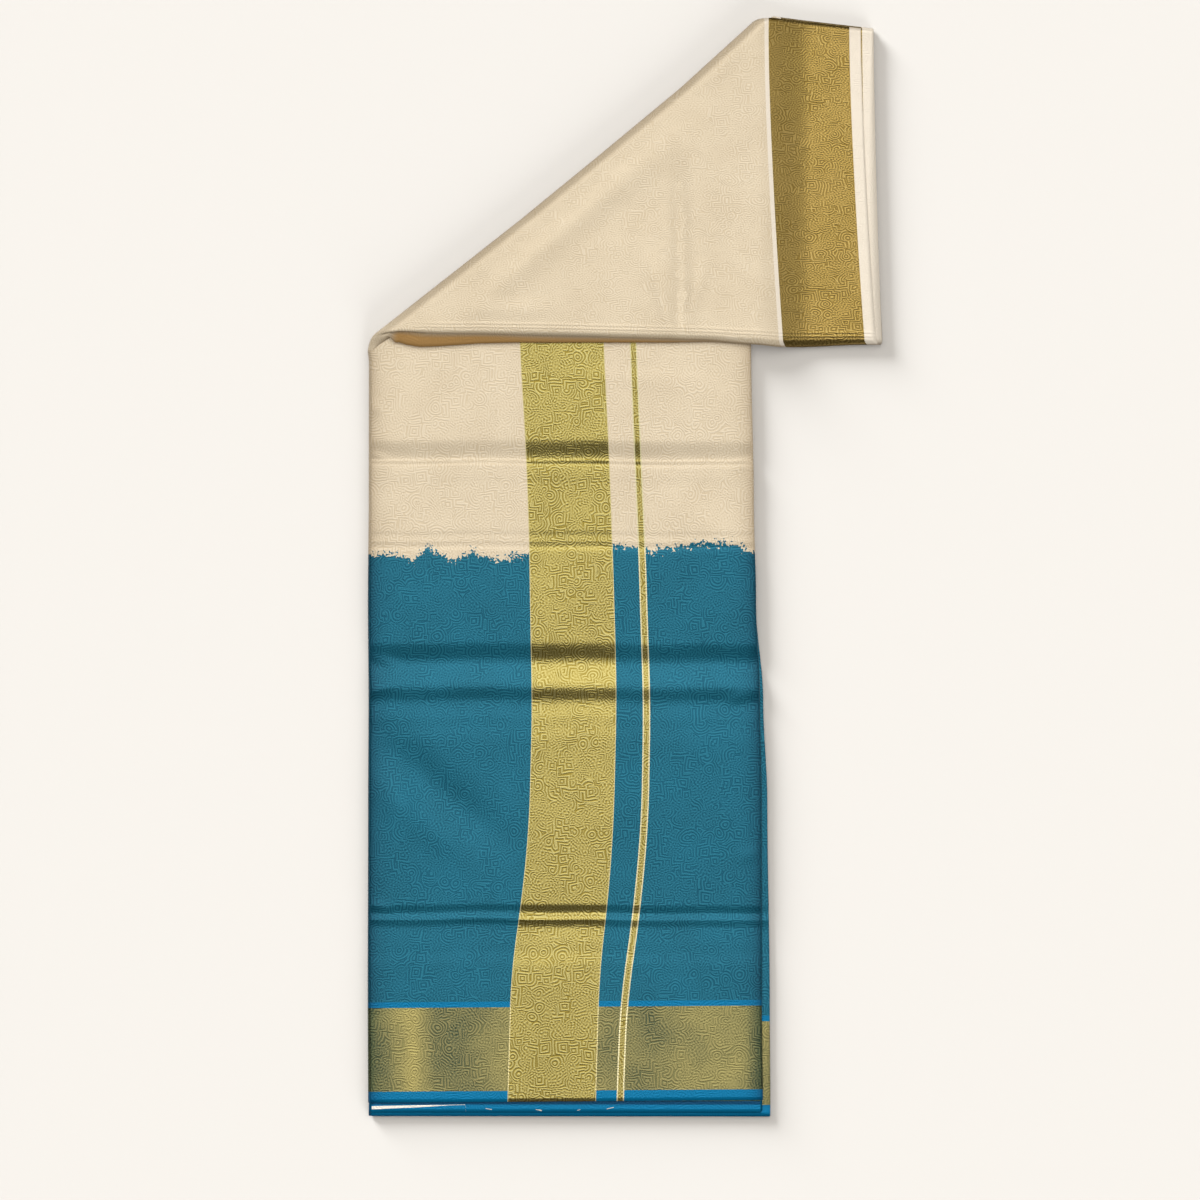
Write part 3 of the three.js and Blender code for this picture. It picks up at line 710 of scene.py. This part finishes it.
LOOP = 8  # columns round each fold
edge_u = np.array([0, 0.012, 0.03, 0.08, 0.16, 0.24, 0.32, 0.4, 0.6, 0.8, 0.92, 0.97, 0.988, 1.0])
for n, level in enumerate(ORDER):
    leftwards = n % 2 == 0
    inside = ease(np.minimum(edge_u, 1 - edge_u) / 0.05)
    depth = STACK / 2 + (level_depth(level) - STACK / 2) * (1 - 0.13 * inside)
    lay(edge_u[::-1] if leftwards else edge_u, depth, 0.0, level)
    if n + 1 == len(ORDER):
        break
    after = ORDER[n + 1]
    low, high = sorted((level, after))
    bulge = FOLD_BULGE / 2 if leftwards else RIGHT_INSET["upper" if low > 8 else "lower"]
    bulge = bulge * (high - low) / 8
    turn_depth, turn_out = loop_columns(1 if leftwards else -1, low, high, bulge, LOOP)
    order = slice(None, None, -1 if level > after else 1)
    between = lerp(level, after, np.linspace(0, 1, LOOP))
    lay(0.0 if leftwards else 1.0, turn_depth[order][1:-1], turn_out[order][1:-1], between[1:-1])
parts = {key: np.concatenate(value) for key, value in parts.items()}
hem = [np.interp(parts["level"], levels, side) for side in hem_of]
reach = [np.interp(parts["level"], levels, side) for side in reach_of]
knots = np.array([y for y in CREASES["y"] if HEM < y < FAN_START])
hidden_rows = np.unique(np.concatenate([
    [HEM, HEM + 3, HEM + 6, HEM + 7.5, HEM + 10], knots, (knots[1:] + knots[:-1]) / 2,
    np.arange(-480, FAN_START, 24.0), np.linspace(FAN_START, ROW_FOLD, 8),
    np.linspace(ROW_FOLD, ROW_FLAP, 15), rows_along_flap(46),
]))[:, None]
upper, lower = (
    ribbon(parts["u"], hidden_rows, side, parts["depth"], parts["out"], hem, reach)
    for side in ("upper", "lower")
)
points = np.where(parts["level"][None, :, None] > 8.5, upper, lower)
hem_mm, head_mm = run_along(points)
# A pale sliver shows at the hem's left end, where the top ledge's selvedge took no dye.
along = np.clip((points[..., 0] - SLIVER["from"][0]) / (SLIVER["to"][0] - SLIVER["from"][0]), 0, 1)
away = points[..., 1] - lerp(SLIVER["from"][1], SLIVER["to"][1], along)
on_ledge = (parts["level"] == SLIVER["level"]) & (along < 1)
pale = np.where(on_ledge, away / (SLIVER["half"] * (1.02 - along)), FAR_AWAY)
# Right under the top layer's hem the cloth is in the dark, so shade is painted there, as on the hidden
# layers' folds.
gap_shade = ease((points[..., 1] + 495.2) / 1.5) * (points[..., 1] < -480) * (parts["level"] < 12.5)
facts = {"hem_mm": hem_mm, "head_mm": head_mm, "pale_edge": pale,
         "rim": np.maximum(np.abs(parts["out"]) / FOLD_BULGE, gap_shade)}
hidden = make_sheet("folded_layers", points, across_from(points, 20, 2 * PANEL), facts, tissue)

# %% [markdown]
# ## Loose ends of silk at the hem
# Where the shuttle turned, short ends of undyed silk stand out of the selvedge and show as pale
# flecks on the hem. Particles could strew them too. Geometry Nodes keeps their sizes as named
# inputs and their seed fixed, and leaves a plain mesh.

# %% Loose ends, strewn with Geometry Nodes
silk = bpy.data.materials.new("undyed_silk_ends")
silk.use_nodes = True
# Pale and dull beside the gilt, so that the flecks read as bare silk.
silk_surface = silk.node_tree.nodes["Principled BSDF"]
silk_surface.inputs["Base Color"].default_value = hex_linear("#e6dccb")
silk_surface.inputs["Roughness"].default_value = 0.55

ENDS = {
    "From": (-0.115, -0.4987, 0.00732), "To": (-0.02, -0.4987, 0.00732), "Count": 5,
    "Length": 0.0048, "Thickness": 0.0004, "Seed": 5,
}
strew = bpy.data.node_groups.new("strewn_ends", "GeometryNodeTree")
strew.interface.new_socket("Geometry", in_out="OUTPUT", socket_type="NodeSocketGeometry")
for key, kind in zip(ENDS, ("Vector", "Vector", "Int", "Float", "Float", "Int")):
    strew.interface.new_socket(key, in_out="INPUT", socket_type="NodeSocket" + kind)
given = strew.nodes.new("NodeGroupInput").outputs
points_of = {"Count": given["Count"], "Start Location": given["From"], "Offset": given["To"]}
spots = add(strew, "GeometryNodeMeshLine", points_of, mode="END_POINTS")
shift = {0: (-0.014, -0.0012, 0.0), 1: (0.014, 0.0012, 0.0), 8: given["Seed"]}
shift = add(strew, "FunctionNodeRandomValue", shift, data_type="FLOAT_VECTOR")
spots = add(strew, "GeometryNodeSetPosition", {"Geometry": spots, "Offset": shift})
size = add(strew, "ShaderNodeCombineXYZ", [given["Length"], given["Thickness"], given["Thickness"]])
thread = add(strew, "GeometryNodeMeshCube", {"Size": size})
lean = add(strew, "FunctionNodeRandomValue", {0: (0.0, 0.0, -0.3), 1: (0.0, 0.0, 0.3), 8: 7},
           data_type="FLOAT_VECTOR")
grow = add(strew, "FunctionNodeRandomValue", {0: (0.4, 1.0, 1.0), 1: (1.5, 1.4, 1.0), 8: 9},
           data_type="FLOAT_VECTOR")
placed = {"Points": spots, "Instance": thread, "Rotation": lean, "Scale": grow}
placed = add(strew, "GeometryNodeInstanceOnPoints", placed)
plain = add(strew, "GeometryNodeRealizeInstances", {"Geometry": placed})
plain = add(strew, "GeometryNodeSetMaterial", {"Geometry": plain, "Material": silk})
add(strew, "NodeGroupOutput", [plain])

loose_ends = bpy.data.objects.new("loose_ends", bpy.data.meshes.new("loose_ends"))
bpy.context.scene.collection.objects.link(loose_ends)
strewn = loose_ends.modifiers.new("strewn", "NODES")
strewn.node_group = strew
for item in strew.interface.items_tree:
    if item.in_out == "INPUT":
        strewn[item.identifier] = ENDS[item.name]
graph = bpy.context.evaluated_depsgraph_get()
made = bpy.data.meshes.new_from_object(loose_ends.evaluated_get(graph))
loose_ends.modifiers.clear()
loose_ends.data = made
print("loose ends:", len(made.polygons) // 6, "of silk")

# %% [markdown]
# ## Floor, light and camera
# The saree lies on plain pale paper under two very large softboxes side by side, overhead and a
# little towards the top of the picture. The gilt thread mirrors them, so slopes that face away go
# dark. Two low lights fall on the floor alone: one from the upper left draws the long soft shadow
# to the right and down, a weaker one from below draws the short shadow on the other sides. A dim
# even surround fills the rest. The camera looks straight down with a long lens.

# %% Stage
SCALE = 0.92  # millimetres of cloth in one of 1200 picture units
LENS, SENSOR = 300.0, 36.0
CENTRE = (-0.0225, -0.0299)
LIGHTS = {  # elevation, azimuth and width in degrees; share of the white floor's light
    "left_softbox": (66.0, 122.0, 56.0, 0.39),
    "right_softbox": (58.0, 45.0, 72.0, 0.36),
    "low_floor_light": (17.0, 130.0, 25.0, 0.95),
    "low_floor_fill": (22.0, 300.0, 40.0, 0.34),
}
SURROUND = 0.25
bpy.ops.mesh.primitive_plane_add(size=9.0, location=(0, 0, -0.0003))
floor = bpy.context.object
floor.name = "floor"
paper = bpy.data.materials.new("matt_pale_paper")
paper.use_nodes = True
# Matt and even, so that it gives the eye only the shadows and no reflection of the cloth.
matt = paper.node_tree.nodes["Principled BSDF"]
matt.inputs["Base Color"].default_value = hex_linear("#aeaaa5")
matt.inputs["Roughness"].default_value = 0.9
matt.inputs["Specular IOR Level"].default_value = 0.1
floor.data.materials.append(paper)

camera_data = bpy.data.cameras.new("camera")
camera_data.lens, camera_data.sensor_width = LENS, SENSOR
camera = bpy.data.objects.new("camera", camera_data)
camera.location = (CENTRE[0], CENTRE[1], 1.2 * SCALE * LENS / SENSOR + STACK / 1000)
bpy.context.scene.collection.objects.link(camera)
bpy.context.scene.camera = camera

for name, (elevation, azimuth, width, share) in LIGHTS.items():
    lamp_data = bpy.data.lights.new(name, "SUN")
    lamp_data.energy = share * math.pi / math.sin(math.radians(elevation))
    lamp_data.angle = math.radians(width)
    lamp_data.color = (0.96, 0.99, 1.02) if name.startswith("low_floor") else (1.0, 0.985, 0.96)
    lamp = bpy.data.objects.new(name, lamp_data)
    lamp.rotation_euler = (0, math.radians(90 - elevation), math.radians(azimuth))
    bpy.context.scene.collection.objects.link(lamp)
    if name.startswith("low_floor"):
        only_floor = bpy.data.collections.new(name + "_falls_on")
        only_floor.objects.link(floor)
        lamp.light_linking.receiver_collection = only_floor

world = bpy.data.worlds.new("surround")
bpy.context.scene.world = world
world.use_nodes = True
world.node_tree.nodes["Background"].inputs["Color"].default_value = (1.0, 0.955, 0.89, 1.0)
world.node_tree.nodes["Background"].inputs["Strength"].default_value = SURROUND
bpy.context.scene.view_settings.view_transform = "Standard"

# %% [markdown]
# ## What each piece is
# Every sheet rides on the one body and stands for its solids, which are hidden. Together they are
# the one length of 5.5 m by 1.15 m.

# %% Ride and replace
for piece, nodes, slot_name, flat, area, on in (
    (top_panel, ["front_panel"], "dyed_tissue", (0.365, 0.975), 0.30, ["folded_layers"]),
    (end_panel, ["back_panel"], "dyed_tissue", (0.36, 0.99), 0.31, ["floor"]),
    (flap, ["flap_face"], "plain_tissue", (0.70, 0.47), 0.205, ["folded_layers"]),
    (hidden, ["upper_layers", "lower_layers", "flap_layers"], "selvedge_layers", (5.0, 1.15), None,
     ["end_panel"]),
):
    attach(piece, "root")
    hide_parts(*nodes)
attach(loose_ends, "root")
